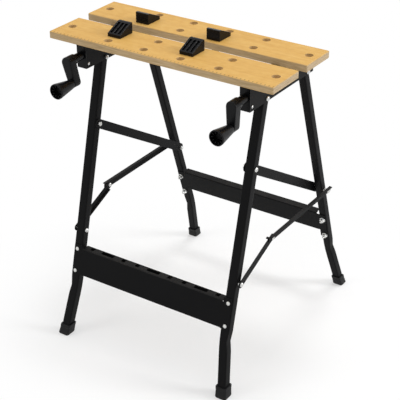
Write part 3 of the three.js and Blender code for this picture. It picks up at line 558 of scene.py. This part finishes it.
threaded = {f"{side}_spindle" for side in SIDES}
left_open = {}
for node in sorted(set(body_of) - threaded):
    if node in turned_about:
        shape = turned_shape(node, middle_of(turned_about[node]))
    else:
        shape = merged_shape(node)
    mesh, open_edges = rounded_mesh(node, shape, EDGE_ROUND[slot_of[node]])
    piece = place_piece(f"{node}_dressed", mesh)
    piece.modifiers.new("flat faces", "WEIGHTED_NORMAL").keep_sharp = True
    keep(plain_mesh(piece), body_of[node], slot_of[node], node)
    if open_edges:
        left_open[node] = open_edges
print(f"{len(body_of) - len(threaded)} solids dressed, open edges: {left_open or 'none'}")

# %% [markdown]
# Threads, bolts and fins repeat, so they are grown with Geometry Nodes. Three helpers keep that
# short: one starts a tree with named inputs, one ends it with Realize Instances and Set Material,
# and one runs it on a carrier mesh and keeps the result as a plain mesh.


# %% Growing pieces from a node tree
def start_tree(name, sizes):
    """A Geometry Nodes tree and a wire for each of its named inputs."""
    tree = bpy.data.node_groups.new(name, "GeometryNodeTree")
    tree.interface.new_socket("Geometry", in_out="INPUT", socket_type="NodeSocketGeometry")
    for label, value in sizes.items():
        kind = "NodeSocketInt" if isinstance(value, int) else "NodeSocketFloat"
        tree.interface.new_socket(label, in_out="INPUT", socket_type=kind).default_value = value
    tree.interface.new_socket("Geometry", in_out="OUTPUT", socket_type="NodeSocketGeometry")
    entry = Wire(tree).node("NodeGroupInput")
    return {wire.socket.name: wire for wire in entry.siblings() if wire.socket.name}


def end_tree(shape, material):
    real = shape.node("GeometryNodeRealizeInstances", None, {"Geometry": shape})
    painted = shape.node("GeometryNodeSetMaterial", None, {"Geometry": real, "Material": material})
    shape.node("NodeGroupOutput", None, {"Geometry": painted})
    return shape.tree


def grow(name, tree, sizes, carrier_mesh):
    """Runs the tree on the carrier with these sizes and keeps a plain mesh."""
    piece = place_piece(name, carrier_mesh)
    modifier = piece.modifiers.new(tree.name, "NODES")
    modifier.node_group = tree
    for item in tree.interface.items_tree:
        if item.in_out == "INPUT" and item.name in sizes:
            modifier[item.identifier] = sizes[item.name]
    return plain_mesh(piece)


print("tree helpers ready")

# %% [markdown]
# Inside a tree a shape is built from primitives that are joined, moved and turned, so those steps get
# short names too. Blender's cylinder stands upright, and the turned pieces of the bench lie along Y, so
# one helper lays a finished shape down and moves it to the tree's offset.


# %% Shapes inside a tree
ROUND_SIDES = 24
HEXAGON_SIDES = 6
LYING_ALONG_Y = (-math.pi / 2, 0, 0)


def join(*shapes):
    return shapes[0].node("GeometryNodeJoinGeometry", None, {"Geometry": list(shapes)})


def vector(x, y, z):
    wired = next(value for value in (x, y, z) if isinstance(value, Wire))
    return wired.node("ShaderNodeCombineXYZ", None, {"X": x, "Y": y, "Z": z})


def moved(shape, offset=(0, 0, 0), turn=(0, 0, 0), scale=(1, 1, 1)):
    sockets = {"Geometry": shape, "Translation": offset, "Rotation": turn, "Scale": scale}
    return shape.node("GeometryNodeTransform", None, sockets)


def cylinder(wire, sides, radius, depth):
    """An upright closed cylinder with its middle at the origin."""
    sockets = {"Vertices": sides, "Radius": radius, "Depth": depth}
    return wire.node("GeometryNodeMeshCylinder", None, sockets)


def offset_sizes(point):
    """Where a grown piece stands, as three of its tree's sizes."""
    return {f"Offset {axis}": share for axis, share in zip("XYZ", point)}


def laid_along_y(shape, wires):
    """A shape grown upright, laid along Y and moved to the tree's offset."""
    lying = moved(shape, turn=LYING_ALONG_Y)
    return moved(lying, vector(wires["Offset X"], wires["Offset Y"], wires["Offset Z"]))


print("round pieces get", ROUND_SIDES, "sides")

# %% [markdown]
# A vice spindle is a rod with a coarse thread. A spiral curve swept with a small diamond gives the
# ridge, and a cylinder inside it is the core. Both follow a rule with a few numbers, so the tree
# takes length, pitch and radius as inputs. It is grown upright and then laid along Y in its rail.

# %% Threaded spindles
PITCH = 4 * MM
THREAD_DEPTH = 1.1 * MM
SPIRAL_STEPS = 20
spindle_low, spindle_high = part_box("left_spindle")
spindle_sizes = {
    "Length": spindle_high.y - spindle_low.y,
    "Radius": (spindle_high.z - spindle_low.z) / 2,
    "Pitch": PITCH,
    "Depth": THREAD_DEPTH,
    **offset_sizes((0.0, 0.0, 0.0)),
}
wires = start_tree("threaded_spindle", spindle_sizes)
length = wires["Length"]
core_radius = wires["Radius"] - wires["Depth"]
thread_length = length - 2 * wires["Depth"]
spiral = length.node("GeometryNodeCurveSpiral", None, {
    "Resolution": SPIRAL_STEPS, "Rotations": thread_length / wires["Pitch"], "Start Radius": core_radius,
    "End Radius": core_radius, "Height": thread_length,
})
spiral = length.node("GeometryNodeSetCurveNormal", {"mode": "Z_UP"}, {"Curve": spiral})
diamond = length.node("GeometryNodeCurvePrimitiveCircle", None, {"Resolution": 4, "Radius": wires["Depth"]})
ridge = length.node("GeometryNodeCurveToMesh", None, {
    "Curve": spiral, "Profile Curve": diamond, "Fill Caps": True,
})
ridge = moved(ridge, vector(0.0, 0.0, wires["Depth"]))
core = length.node("GeometryNodeStoreNamedAttribute", {"data_type": "FLOAT", "domain": "POINT"}, {
    "Geometry": cylinder(length, ROUND_SIDES, core_radius, length), "Name": "oil", "Value": 1.0,
})
core = moved(core, vector(0.0, 0.0, length / 2))
spindle_tree = end_tree(laid_along_y(join(ridge, core), wires), finishes["bare_steel"])

for side in SIDES:
    middle = middle_of(f"{side}_spindle")
    rear_end = Vector((middle.x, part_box(f"{side}_spindle")[0].y, middle.z))
    sizes = {**spindle_sizes, **offset_sizes(rear_end)}
    piece = grow(f"{side}_threaded_spindle", spindle_tree, sizes, bpy.data.meshes.new(f"{side}_thread"))
    keep(piece, f"{side}_crank", "bare_steel", f"{side}_spindle")
    print(piece.name, len(piece.data.polygons), "faces")

# %% [markdown]
# The tray and the crossbar are bolted to the legs, two bolts on each leg, and the rails carry the
# screws of their bushes. Each place is a point of a carrier mesh with the direction that the
# fastener faces, and the tree puts one fastener on each point, turned to that direction.


# %% Places for small fasteners
def carrier_of(name, places):
    """A mesh of loose points with a facing direction on each, for Instance on Points."""
    mesh = bpy.data.meshes.new(name)
    mesh.from_pydata([point for point, facing in places], [], [])
    facing_layer = mesh.attributes.new("facing", "FLOAT_VECTOR", "POINT")
    facing_layer.data.foreach_set("vector", [share for point, facing in places for share in facing])
    return mesh


def on_points(shape, points):
    """The shape on each point of the carrier, its Z axis turned to the point's facing."""
    facing = shape.node(
        "GeometryNodeInputNamedAttribute", {"data_type": "FLOAT_VECTOR"}, {"Name": "facing"}
    )
    turn = shape.node("FunctionNodeAlignRotationToVector", {"axis": "Z"}, {"Vector": facing})
    sockets = {"Points": points, "Instance": shape, "Rotation": turn}
    return shape.node("GeometryNodeInstanceOnPoints", None, sockets)


def leg_axes(top, bolt):
    """Down a leg from its top pivot to a bolt on its axis, and square out of its front face."""
    down = middle_of(bolt) - top
    down.x = 0
    down.normalize()
    return down, Vector((0, down.z, -down.y))


front_top = pivot_of["front_leg_fold"]
rear_top = pivot_of["top_fold"]
front_down, front_face = leg_axes(front_top, "left_lower_bolt")
rear_down, rear_face = leg_axes(rear_top, "left_stay_bolt")
leg_x = middle_of("right_spindle").x


def on_legs(top, down, drops, face, offset):
    """Places on both legs of a frame: these drops below the top pivot, this far out along a face."""
    points = [top + down * drop + face * offset for drop in drops]
    return [(Vector((x, point.y, point.z)), face) for x in (-leg_x, leg_x) for point in points]


print("front legs lean", round(math.degrees(math.asin(-front_down.y)), 1), "degrees")
print("rear legs lean", round(math.degrees(math.asin(rear_down.y)), 1), "degrees")

# %% [markdown]
# A tray bolt has a low domed head on a round flange. The tree stacks a thin cylinder and a flattened
# ball whose lower half is sunk in the flange and the steel below it, which is all the eye can see of a
# mushroom-head bolt.

# %% Mushroom-head bolts of the tray
DOME_SHARE = 0.9
DOME_RINGS = 12
bolt_sizes = {"Flange radius": 4.8 * MM, "Flange height": 1.0 * MM, "Dome height": 2.6 * MM}
wires = start_tree("mushroom_bolts", bolt_sizes)
points = wires["Geometry"]
half_flange = vector(0.0, 0.0, wires["Flange height"] / 2)
flange = moved(cylinder(points, ROUND_SIDES, wires["Flange radius"], wires["Flange height"]), half_flange)
ball_sockets = {"Segments": ROUND_SIDES, "Rings": DOME_RINGS, "Radius": 1.0}
dome = points.node("GeometryNodeMeshUVSphere", None, ball_sockets)
dome_radius = DOME_SHARE * wires["Flange radius"]
dome = moved(dome, half_flange, scale=vector(dome_radius, dome_radius, wires["Dome height"]))
bolt_tree = end_tree(on_points(join(flange, dome), points), finishes["zinc_fasteners"])

FRONT_LEG_HALF = 11.5 * MM
SHEET_FACE = 1.8 * MM
TRAY_BOLT_DROPS = (489.8 * MM, 547.5 * MM)
tray_face = FRONT_LEG_HALF + SHEET_FACE
tray_places = on_legs(front_top, front_down, TRAY_BOLT_DROPS, front_face, tray_face)
piece = grow("tray_bolts", bolt_tree, bolt_sizes, carrier_of("tray_bolt_places", tray_places))
keep(piece, "front_frame", "zinc_fasteners")
print("tray bolts", len(tray_places))

# %% [markdown]
# The front bush of each rail is held by a screw in each side wall. The screws have the same shape as the
# tray bolts, only smaller, so the same tree serves with other sizes. The left rail mirrors the right one.

# %% Screws of the rails
RAIL_SCREW = {"Flange radius": 3.6 * MM, "Flange height": 0.8 * MM, "Dome height": 1.6 * MM}
RAIL_SCREW_INSET = 6 * MM
RAIL_SCREW_RISE = 11 * MM
rail_low, rail_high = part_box("right_vice_rail")
rail_places = []
for mirror in (-1, 1):
    for face_x, out in ((rail_low.x, -1), (rail_high.x, 1)):
        point = Vector((mirror * face_x, rail_low.y + RAIL_SCREW_INSET, rail_low.z + RAIL_SCREW_RISE))
        rail_places.append((point, Vector((mirror * out, 0, 0))))
piece = grow("rail_screws", bolt_tree, RAIL_SCREW, carrier_of("rail_screw_places", rail_places))
keep(piece, "top_frame", "zinc_fasteners")
print("rail screws", len(rail_places))

# %% [markdown]
# The crossbar shows the other end of its bolts: a hexagon nut on a washer with the thread standing
# out of it. Three stacked cylinders make it, with six sides for the nut.

# %% Crossbar nuts
WASHER = 1.2 * MM
TAIL_SHARE = 0.45
TAIL_SIDES = 16
nut_sizes = {"Nut radius": 6.4 * MM, "Nut height": 5.0 * MM, "Washer radius": 7.5 * MM, "Tail": 5.0 * MM}
wires = start_tree("crossbar_nuts", nut_sizes)
points = wires["Geometry"]
washer = moved(cylinder(points, ROUND_SIDES, wires["Washer radius"], WASHER), (0, 0, WASHER / 2))
nut = cylinder(points, HEXAGON_SIDES, wires["Nut radius"], wires["Nut height"])
nut = moved(nut, vector(0.0, 0.0, wires["Nut height"] / 2 + WASHER))
tail_length = wires["Tail"] + wires["Nut height"]
tail = cylinder(points, TAIL_SIDES, TAIL_SHARE * wires["Nut radius"], tail_length)
tail = moved(tail, vector(0.0, 0.0, tail_length / 2 + WASHER))
nut_tree = end_tree(on_points(join(washer, nut, tail), points), finishes["zinc_fasteners"])

REAR_LEG_HALF = 10 * MM
CROSSBAR_BOLT_DROPS = (489.8 * MM, 547.8 * MM)
crossbar_face = REAR_LEG_HALF + SHEET_FACE
nut_places = on_legs(rear_top, rear_down, CROSSBAR_BOLT_DROPS, rear_face, crossbar_face)
piece = grow("crossbar_nuts", nut_tree, nut_sizes, carrier_of("crossbar_nut_places", nut_places))
keep(piece, "rear_frame", "zinc_fasteners")
print("crossbar nuts", len(nut_places))

# %% [markdown]
# Every bolt goes right through its leg, so the other end shows at the back: the heads of the crossbar's
# bolts behind the rear legs, and the nuts of the tray's bolts behind the front legs. The two trees
# above serve again, with the faces turned round.

# %% Far ends of the same bolts
head_places = on_legs(rear_top, rear_down, CROSSBAR_BOLT_DROPS, -rear_face, REAR_LEG_HALF)
piece = grow("crossbar_bolt_heads", bolt_tree, bolt_sizes, carrier_of("crossbar_head_places", head_places))
keep(piece, "rear_frame", "zinc_fasteners")

TRAY_NUT = {"Nut radius": 5.2 * MM, "Nut height": 4 * MM, "Washer radius": 5.8 * MM, "Tail": 2 * MM}
back_places = on_legs(front_top, front_down, TRAY_BOLT_DROPS, -front_face, FRONT_LEG_HALF)
piece = grow("tray_bolt_nuts", nut_tree, TRAY_NUT, carrier_of("tray_nut_places", back_places))
keep(piece, "front_frame", "zinc_fasteners")
print("far ends", len(head_places) + len(back_places))

# %% [markdown]
# Looking into a crank grip, the moulding is hollow and stiffened with thin fins round its wall. One
# fin is a thin block, and the tree puts it on the points of a circle, each turned to face outward. The
# circle only gives the directions, so the block is first moved back by the circle's radius.

# %% Fins inside the crank grips
RING_RADIUS = 1.0
FIN_INSET = 3 * MM
fin_sizes = {
    "Count": 10,
    "Inner radius": 10.0 * MM,
    "Outer radius": 15.4 * MM,
    "Length": 12.0 * MM,
    "Thickness": 1.4 * MM,
    **offset_sizes((0.0, 0.0, 0.0)),
}
wires = start_tree("grip_fins", fin_sizes)
count = wires["Count"]
ring = count.node("GeometryNodeMeshCircle", None, {"Vertices": count, "Radius": RING_RADIUS})
direction = count.node("GeometryNodeInputPosition")
turn = count.node("FunctionNodeAlignRotationToVector", {"axis": "X"}, {"Vector": direction})
fin_depth = wires["Outer radius"] - wires["Inner radius"]
fin = count.node("GeometryNodeMeshCube", None, {
    "Size": vector(fin_depth, wires["Thickness"], wires["Length"]),
})
fin_middle = wires["Inner radius"] + fin_depth / 2 - RING_RADIUS
fin = moved(fin, vector(fin_middle, 0.0, wires["Length"] / 2))
fins = count.node("GeometryNodeInstanceOnPoints", None, {"Points": ring, "Instance": fin, "Rotation": turn})
fin_tree = end_tree(laid_along_y(fins, wires), finishes["black_plastic"])

for side in SIDES:
    middle = middle_of(f"{side}_grip_pin")
    mouth_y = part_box(f"{side}_crank_grip")[0].y
    sizes = {**fin_sizes, **offset_sizes((middle.x, mouth_y + FIN_INSET, middle.z))}
    piece = grow(f"{side}_grip_fins", fin_tree, sizes, bpy.data.meshes.new(f"{side}_fin_carrier"))
    keep(piece, f"{side}_grip", "black_plastic")
    print(piece.name, len(piece.data.polygons), "faces")

# %% [markdown]
# The bench stands on a plain white floor, a hair below the soles so that no two faces share a plane.
# Near the bench the floor is mostly a matt surface, which takes the soft shadow, with a little white
# light mixed in where the camera or a shiny piece sees it. Farther out, where no shadow falls, that
# white takes over, so the floor has no visible end.

# %% Floor
FLOOR_HALF = 30.0
FLOOR_DROP = 0.2 * MM
FLOOR_WHITE = (0.98, 0.98, 0.98, 1)
PURE_WHITE = (1, 1, 1, 1)
FLOOR_GLOW = 0.25
SHADOW_REACH = (0.22, 0.7)
PICTURE_RAYS = ("Is Camera Ray", "Is Glossy Ray", "Is Transmission Ray")


def seen(root):
    """1 for rays that carry the picture itself: camera, mirrored or transmitted."""
    rays = {wire.socket.name: wire for wire in root.node("ShaderNodeLightPath").siblings()}
    camera, glossy, transmission = [rays[name] for name in PICTURE_RAYS]
    return root.math("MAXIMUM", root.math("MAXIMUM", camera, glossy), transmission)


floor_mesh = bpy.data.meshes.new("studio_floor")
corners = [(x * FLOOR_HALF, y * FLOOR_HALF, -FLOOR_DROP) for x, y in ((-1, -1), (1, -1), (1, 1), (-1, 1))]
floor_mesh.from_pydata(corners, [], [(0, 1, 2, 3)])
floor = place_piece("studio_floor", floor_mesh)
floor_look = bpy.data.materials.new("white_floor")
floor_look.use_nodes = True
floor_look.node_tree.nodes.clear()
root = Wire(floor_look.node_tree)
matt = root.node("ShaderNodeBsdfDiffuse", None, {"Color": FLOOR_WHITE})
glow = root.node("ShaderNodeEmission", None, {"Color": PURE_WHITE, "Strength": 1.0})
place = root.node("ShaderNodeTexCoord", output="Object")
reach = place.node("ShaderNodeVectorMath", {"operation": "LENGTH"}, {0: place}, "Value")
share = FLOOR_GLOW + (1 - FLOOR_GLOW) * soft_step(reach, *SHADOW_REACH)
shown = root.node("ShaderNodeMixShader", None, {0: share * seen(root), 1: matt, 2: glow})
root.node("ShaderNodeOutputMaterial", None, {"Surface": shown})
floor_mesh.materials.append(floor_look)
floor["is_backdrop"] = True
print("floor", 2 * FLOOR_HALF, "m wide, glow", FLOOR_GLOW)

# %% [markdown]
# The world behind the floor could be a picture of a studio, but a plain one keeps colours true. It
# follows the floor's rule: white where it is seen, and a calmer grey where it lights the bench.

# %% World
WORLD_LIGHT = 0.6
world = bpy.data.worlds.new("white_studio")
world.use_nodes = True
world.node_tree.nodes.clear()
bpy.context.scene.world = world
root = Wire(world.node_tree)
strength = WORLD_LIGHT + (1 - WORLD_LIGHT) * seen(root)
sky = root.node("ShaderNodeBackground", None, {"Color": PURE_WHITE, "Strength": strength})
root.node("ShaderNodeOutputWorld", None, {"Surface": sky})
print("world light", WORLD_LIGHT)

# %% [markdown]
# A large soft lamp stands on the right, a little behind, and makes the right-hand faces of the black
# tubes lighter than their fronts, as a window would. A second one hangs overhead and draws the soft
# shadow under the tray. A weak one from the front left opens the shade.

# %% Lamps
AIM = Vector((0, 0, 0.4))
LAMPS = {
    "window_lamp": {"position": (4.0, 1.8, 2.6), "size": 1.6, "power": 100},
    "overhead_lamp": {"position": (0.1, 0.5, 4.4), "size": 1.1, "power": 42},
    "fill_lamp": {"position": (-1.8, -2.4, 2.6), "size": 1.6, "power": 14},
}


def soft_lamp(name, position, size, power):
    lamp = bpy.data.lights.new(name, "AREA")
    lamp.shape = "DISK"
    lamp.size = size
    lamp.energy = power
    holder = bpy.data.objects.new(name, lamp)
    holder.location = position
    holder.rotation_euler = (AIM - Vector(position)).to_track_quat("-Z", "Y").to_euler()
    bpy.context.scene.collection.objects.link(holder)


for name, settings in LAMPS.items():
    soft_lamp(name, **settings)
print(len(LAMPS), "soft lamps")

# %% [markdown]
# The camera stands where the photograph was taken from: in front and to the right, with a long lens,
# looking about 30 degrees down. A new camera looks straight down, so three turns aim it: a very slight
# roll about its line of sight, a tip up about X, and a swing to the right about Z.

# %% Camera
CAMERA_AT = Vector((1.4097, -2.1538, 1.7414))
SWING = math.radians(33.539)
LOOK_DOWN = math.radians(29.678)
ROLL = math.radians(-0.114)
SENSOR_WIDTH = 36
FOCAL_LENGTH = 104.41
SHIFT = (-0.0039, 0.0428)

lens = bpy.data.cameras.new("photo_camera")
lens.sensor_width = SENSOR_WIDTH
lens.lens = FOCAL_LENGTH
lens.shift_x, lens.shift_y = SHIFT
camera = bpy.data.objects.new("photo_camera", lens)
tip = Matrix.Rotation(math.pi / 2 - LOOK_DOWN, 4, "X")
turn = Matrix.Rotation(SWING, 4, "Z") @ tip @ Matrix.Rotation(ROLL, 4, "Z")
camera.matrix_world = Matrix.Translation(CAMERA_AT) @ turn
bpy.context.scene.collection.objects.link(camera)
bpy.context.scene.camera = camera
bpy.context.scene.view_settings.view_transform = "Standard"
print("camera", round(lens.lens, 1), "mm")

# %% Sizes and finish
visual_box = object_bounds()
sizes = {"cad": [list(corner) for corner in cad_box], "visual": [list(corner) for corner in visual_box]}
gaps = [(visual - cad).length for visual, cad in zip(visual_box, cad_box)]
print("the dressed corners lie", round(max(gaps) / MM, 2), "mm from the solids' corners")
